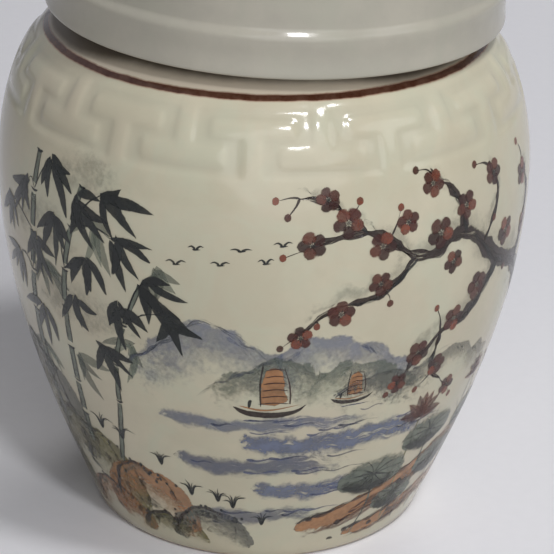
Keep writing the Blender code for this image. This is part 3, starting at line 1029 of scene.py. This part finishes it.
def paint_lotus_leaf(canvas, across, up, half_width, half_height):
    foot = (across + between(-3, 3), 5)
    stem = [(across, up), (across + 1.2, (up + foot[1]) / 2), foot]
    brush(canvas, stem, 0.8, vary(GREEN_GREY, 0.2), 0.9, dry=0.3, layer=1, shake=0.4)
    blade = [(across - half_width, up - 0.6), (across, up + 0.5), (across + half_width, up)]
    brush(canvas, blade, half_height * 2, GREEN_GREY, 0.85, dab, dry=0.2, soft=(0.12, 0.25, 0.03, 0.08),
          layer=2, shake=1.0)
    near_side = [
        (across + half_width * x, up - half_height * fall) for x, fall in ((-0.9, 0.3), (0, 0.55), (0.85, 0.3))
    ]
    brush(canvas, near_side, half_height * 1.1, INK_BLACK, 0.78, leaf, dry=0.55, soft=(0.25, 0.6, 0.1, 0.2),
          layer=3, shake=0.9)
    for rib in range(LOTUS_RIBS):
        angle = 2 * math.pi * (rib + 0.3) / LOTUS_RIBS
        tip = (across + math.cos(angle) * half_width * 0.86, up + math.sin(angle) * half_height * 0.84)
        bend = (across + math.cos(angle) * half_width * 0.4, up + math.sin(angle) * half_height * 0.5 + 0.3)
        brush(canvas, [(across, up + 0.4), bend, tip], 0.5, INK_BLACK, 0.85, tail, dry=0.3, layer=4, shake=0.3)


def paint_lotus_flower(canvas, across, up, size):
    stem = [(across, up), (across - 1, up * 0.5), (across + 0.5, 6)]
    brush(canvas, stem, 0.8, OLIVE, 0.9, dry=0.3, layer=1, shake=0.4)
    root = Vector((across, up))
    for number, lean in enumerate((-78, 78, -46, 46, -20, 20, 0)):
        out = Vector((math.sin(math.radians(lean)), math.cos(math.radians(lean))))
        tip = root + out * size
        petal = [root, root + out * size * 0.55 + Vector((0, 0.5)), tip]
        brush(canvas, petal, size * 0.42, vary(RUSSET, 0.2), 0.62, leaf, dry=0.25, soft=(0.2, 0.2, 0.05, 0.02),
              layer=2 + number % 3, shake=0.3)
        vein = [root, root + out * size * 0.5 + Vector((0.5, 0.3)), tip]
        brush(canvas, vein, 0.4, RUSSET_DARK, 0.85, tail, layer=5)


canvas = new_canvas()
for lotus_leaf in LOTUS_LEAVES:
    paint_lotus_leaf(canvas, *lotus_leaf)
paint_lotus_flower(canvas, 52, 43, 8.5)
paint_lotus_flower(canvas, 78, 47, 6.5)
for reed in range(REEDS):
    lean = (reed - REEDS / 2) * 3.4
    height = between(30, 48)
    root = (REED_ROOT[0] + reed * 0.9, REED_ROOT[1])
    tip = (root[0] + lean, root[1] + height)
    bend = (root[0] + lean * 0.25, root[1] + height * 0.55)
    brush(canvas, [root, bend, tip], 0.9, vary(OLIVE, 0.3), 0.9, tail, dry=0.35, layer=1, shake=0.4)
    if reed % 2:
        plume = [tip, (tip[0] + 2.0, tip[1] - 2.5), (tip[0] + 3.4, tip[1] - 6.5)]
        brush(canvas, plume, 1.8, RUSSET, 0.8, leaf, dry=0.7, layer=3, shake=0.5)
hang(canvas, "painted_lotus")

# The back: a spray of orchid with long leaves that cross, and three small flowers, so that the
# painting does not end abruptly.
ORCHID_ROOT = (220, 34)
ORCHID_LEAVES = ((-34, 62), (-24, 82), (-12, 92), (4, 98), (16, 86), (27, 74), (37, 58), (-40, 46), (42, 44))
ORCHID_FLOWERS = ((204, 96), (226, 103), (238, 92))

canvas = new_canvas()
paint_boulder(canvas, 220, 36, 40, 20, OLIVE)
for lean, top in ORCHID_LEAVES:
    x, y = ORCHID_ROOT
    droop = top - abs(lean) * 0.22
    blade = [(x, y), (x + lean * 0.22, y + (top - y) * 0.55), (x + lean * 0.62, top), (x + lean, droop)]
    brush(canvas, blade, 2.3, vary(INK_BLACK, 0.3), 0.92, leaf, dry=0.3, layer=3, shake=0.5)
for x, y in ORCHID_FLOWERS:
    bend = ((x + ORCHID_ROOT[0]) / 2 + 2, (y + ORCHID_ROOT[1]) / 2)
    brush(canvas, [ORCHID_ROOT, bend, (x, y)], 0.7, OLIVE, 0.9, layer=2, shake=0.4)
    paint_blossom(canvas, x, y, 3.6)
hang(canvas, "painted_orchid")

# The lid: a thrown cap with a skirt that hangs round the neck, a soft ridge round its side, a domed
# crown and a button knob. It is glazed a greyer cream, and its domed ceiling rests on the jar's rim,
# where it has slid a little to one side and leans.
LID_PLAY = 0.0041
LID_WALL = 0.0045
LID_EDGE_GAP = 0.0036
LID_EDGE_ROUND = 0.0007
LID_SKIRT_HOLLOW = 0.0003
LID_RIDGE_RISE = 0.0104
LID_RIDGE_HEIGHT = 0.0040
LID_RIDGE_PROUD = 0.00045
LID_SETBACK = 0.0012
LID_CORNER = 0.0035
CEILING_RADIUS = 0.1006
CEILING_CORNER = 0.0023
CROWN_THICKNESS = 0.0070
LID_LEAN = math.radians(1.6)
KNOB_RADIUS = 0.0125
KNOB_NECK_RADIUS = 0.0078
KNOB_NECK_HEIGHT = 0.0035
KNOB_FLARE_HEIGHT = 0.0042
KNOB_CAP_HEIGHT = 0.0053
SEAT_GAP = 0.0003
LID_STEPS = 256
SKIRT_INSIDE = NECK_RADIUS + LID_PLAY
SKIRT_OUTSIDE = SKIRT_INSIDE + LID_WALL
LID_EDGE_HEIGHT = SHOULDER_HEIGHT + LEDGE_SLOPE * (SHOULDER_RADIUS - SKIRT_INSIDE) + LID_EDGE_GAP
BAND_RADIUS = SKIRT_OUTSIDE - LID_SETBACK
CROWN_RADIUS = CEILING_RADIUS + CROWN_THICKNESS
GREY_CREAM = (0.490, 0.465, 0.394, 1)
GREY_DEEP = (0.434, 0.412, 0.352, 1)
GREENISH_GREY = (0.436, 0.432, 0.358, 1)

# The ceiling is part of a ball. This is the height of the ball's middle when the lid rests on the rim.
BALL_CENTRE = RIM_HEIGHT - RIM_ROUND - math.sqrt(
    (CEILING_RADIUS - RIM_ROUND - SEAT_GAP) ** 2 - (NECK_RADIUS - RIM_ROUND) ** 2
)


def ball_height(size, radius):
    return BALL_CENTRE + math.sqrt(size**2 - radius**2)


def lid_side():
    """The skirt's outside, from its rounded edge over a faint hollow and the soft ridge to the corner."""
    band_foot = LID_EDGE_HEIGHT + LID_EDGE_ROUND
    points = arc(SKIRT_OUTSIDE - LID_EDGE_ROUND, band_foot, LID_EDGE_ROUND, -math.pi / 2, 0, 6)
    low = LID_EDGE_HEIGHT + LID_RIDGE_RISE - LID_RIDGE_HEIGHT / 2
    for height in rows_between(band_foot, low, 0.0010):
        hollow = LID_SKIRT_HOLLOW * math.sin(math.pi * (height - band_foot) / (low - band_foot))
        points.append((SKIRT_OUTSIDE - hollow, height))
    for step in range(1, 15):
        share = step / 14
        side = SKIRT_OUTSIDE - LID_SETBACK * (1 - math.cos(math.pi * share)) / 2
        bulge = LID_RIDGE_PROUD * math.sin(math.pi * share) ** 2
        points.append((side + bulge, low + LID_RIDGE_HEIGHT * share))
    corner_radius = BAND_RADIUS - LID_CORNER
    corner_height = ball_height(CROWN_RADIUS - LID_CORNER, corner_radius)
    lean = math.asin(corner_radius / (CROWN_RADIUS - LID_CORNER))
    points += [(BAND_RADIUS, height) for height in rows_between(points[-1][1], corner_height, 0.0015)[:-1]]
    return points + arc(corner_radius, corner_height, LID_CORNER, 0, math.pi / 2 - lean, 9)


def lid_outline():
    """From the ceiling's middle out, down inside the skirt, up its outside, over the crown to the knob."""
    dome_edge = SKIRT_INSIDE - CEILING_CORNER
    rows = rows_between(-0.0001, dome_edge, NECK_ROW_HEIGHT)
    points = [(radius, ball_height(CEILING_RADIUS, radius)) for radius in rows]
    points[0] = (0, ball_height(CEILING_RADIUS, 0))
    corner_height = points[-1][1] - CEILING_CORNER
    dome_lean = math.asin(dome_edge / CEILING_RADIUS)
    points += arc(dome_edge, corner_height, CEILING_CORNER, math.pi / 2 - dome_lean, 0, 5)[1:]
    edge_top = LID_EDGE_HEIGHT + LID_EDGE_ROUND
    points += [(SKIRT_INSIDE, height) for height in rows_between(corner_height, edge_top, NECK_ROW_HEIGHT)]
    quarter = (math.pi, math.pi * 3 / 2, CORNER_STEPS)
    points += arc(SKIRT_INSIDE + LID_EDGE_ROUND, edge_top, LID_EDGE_ROUND, *quarter)[1:]
    points += lid_side()
    rows = rows_between(points[-1][0], KNOB_NECK_RADIUS, 0.0025)
    points += [(radius, ball_height(CROWN_RADIUS, radius)) for radius in rows]
    neck_foot = points[-1][1]
    flare_foot = neck_foot + KNOB_NECK_HEIGHT
    knob_edge = flare_foot + KNOB_FLARE_HEIGHT
    points += [(KNOB_NECK_RADIUS - 0.0006 * math.sin(math.pi * share), neck_foot + KNOB_NECK_HEIGHT * share)
               for share in (0.25, 0.5, 0.75, 1)]
    for step in range(1, 9):
        share = step / 8
        flare = KNOB_NECK_RADIUS + (KNOB_RADIUS - KNOB_NECK_RADIUS) * math.sin(math.pi / 2 * share)
        points.append((flare, flare_foot + KNOB_FLARE_HEIGHT * share**1.5))
    for step in range(1, 12):
        angle = math.pi / 2 * step / 12
        points.append((KNOB_RADIUS * math.cos(angle), knob_edge + KNOB_CAP_HEIGHT * math.sin(angle)))
    return points + [(0, knob_edge + KNOB_CAP_HEIGHT)]


def lid_glaze():
    material, tree, place = new_material("lid_glaze")
    surface = glaze_at(place, 0.10)
    colour = tint(surface["Drift"], GREY_DEEP, GREY_CREAM)
    flush = ramp(clouds(place, 45.0, 4.0, 0.6, 0.6), 0.42, 0.68, 0.0, 0.6)
    colour = tint(flush, colour, GREENISH_GREY)
    colour = tint(times(surface["Specks"], 0.7), colour, SPECK_BROWN)
    finish_glaze(tree, colour, surface["Height"], ramp(surface["Drift"], 0.0, 1.0, GLAZE_ROUGHNESS, 0.18))
    return material


lid_body = turned(lid_outline(), LID_STEPS)
bmesh.ops.rotate(
    lid_body, verts=lid_body.verts[:], cent=(0, 0, BALL_CENTRE), matrix=Matrix.Rotation(LID_LEAN, 3, "Y")
)
lid = piece_from(lid_body, "lid_cap", lid_glaze(), "lid")
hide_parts("lid")

# The ground: a plain pale sheet for the jar to stand on, which takes its shadow. It looks paler than the
# light that it throws back up on the jar.
GROUND_SIZE = 3.0
GROUND_COLOUR = (0.895, 0.893, 0.940, 1)
GROUND_FOLD_COLOUR = (0.860, 0.858, 0.905, 1)
GROUND_BOUNCE_COLOUR = (0.600, 0.585, 0.568, 1)


def seen_directly(tree):
    """1 for what the camera sees, also in gloss and through glass, and 0 for light that is thrown back."""
    path = node(tree, "LightPath")
    seen = calc("MAXIMUM", path.outputs["Is Camera Ray"], path.outputs["Is Glossy Ray"])
    return calc("MAXIMUM", seen, path.outputs["Is Transmission Ray"])


def ground_material():
    material, tree, place = new_material("pale_ground")
    shade = tint(clouds(place, 300.0, 3.0, 0.6), GROUND_FOLD_COLOUR, GROUND_COLOUR)
    shade = tint(seen_directly(tree), GROUND_BOUNCE_COLOUR, shade)
    feed(tree, tree.nodes["Principled BSDF"], {"Base Color": shade, "Roughness": 0.9, "Metallic": 0.0})
    return material


sheet = bmesh.new()
bmesh.ops.create_grid(sheet, x_segments=8, y_segments=8, size=GROUND_SIZE)
thing_from(sheet, "ground", ground_material())

# The light: a small lamp and a broad panel half high in front, a soft lamp high on the right, broad weak
# ones low in front, on the right and behind, and a dim pale room.
LAMP_PLACES_SIZES_AND_POWERS = {
    "front_lamp": ((0.407, -1.415, 1.735), 0.25, 10.2),
    "front_panel": ((0.407, -1.415, 1.735), 1.7, 2.2),
    "high_lamp": ((0.630, -0.610, 1.900), 0.30, 11.6),
    "low_lamp": ((0.260, -1.600, 0.680), 1.6, 8.0),
    "right_lamp": ((1.500, -0.870, 1.000), 1.0, 3.0),
    "back_lamp": ((0.900, 1.560, 1.360), 1.2, 10.5),
}
AIM = Vector((0, 0, 0.1))
ROOM_COLOUR = (0.98, 0.97, 1.0, 1)
ROOM_STRENGTH = 0.06
BACKDROP_COLOUR = (0.42, 0.42, 0.445, 1)


def soft_lamp(name, place, size, power):
    lamp = bpy.data.lights.new(name, "AREA")
    lamp.shape = "DISK"
    lamp.size = size
    lamp.energy = power
    thing = bpy.data.objects.new(name, lamp)
    thing.location = place
    thing.rotation_euler = (AIM - place).to_track_quat("-Z", "Y").to_euler()
    bpy.context.scene.collection.objects.link(thing)


def light_room():
    world = bpy.data.worlds.new("room")
    world.use_nodes = True
    tree = world.node_tree
    tree.nodes.clear()
    lighting = node(tree, "Background", Color=ROOM_COLOUR, Strength=ROOM_STRENGTH)
    shown = node(tree, "Background", Color=BACKDROP_COLOUR, Strength=1.0)
    both = node(tree, "MixShader", seen_directly(tree), lighting.outputs[0], shown.outputs[0])
    output = tree.nodes.new("ShaderNodeOutputWorld")
    tree.links.new(both.outputs[0], output.inputs["Surface"])
    bpy.context.scene.world = world


for name, (place, size, power) in LAMP_PLACES_SIZES_AND_POWERS.items():
    soft_lamp(name, Vector(place), size, power)
light_room()

# The camera stands close in front and looks down on the shoulder, as the photograph was taken.
CAMERA_PLACE = Vector((0, -0.5999, 0.3373))
CAMERA_PITCH = math.radians(24.73)
CAMERA_YAW = math.radians(0.40)
CAMERA_ROLL = math.radians(1.47)
FOCAL_PIXELS = 2444
FRAME_PIXELS = 554
SENSOR_WIDTH = 36.0

camera_data = bpy.data.cameras.new("camera")
camera_data.sensor_width = SENSOR_WIDTH
camera_data.lens = SENSOR_WIDTH * FOCAL_PIXELS / FRAME_PIXELS
camera_data.clip_start = 0.01
camera = bpy.data.objects.new("camera", camera_data)
camera.matrix_world = (
    Matrix.Translation(CAMERA_PLACE)
    @ Matrix.Rotation(-CAMERA_YAW, 4, "Z")
    @ Matrix.Rotation(math.pi / 2 - CAMERA_PITCH, 4, "X")
    @ Matrix.Rotation(CAMERA_ROLL, 4, "Z")
)
bpy.context.scene.collection.objects.link(camera)
bpy.context.scene.camera = camera
bpy.context.scene.view_settings.view_transform = "Standard"
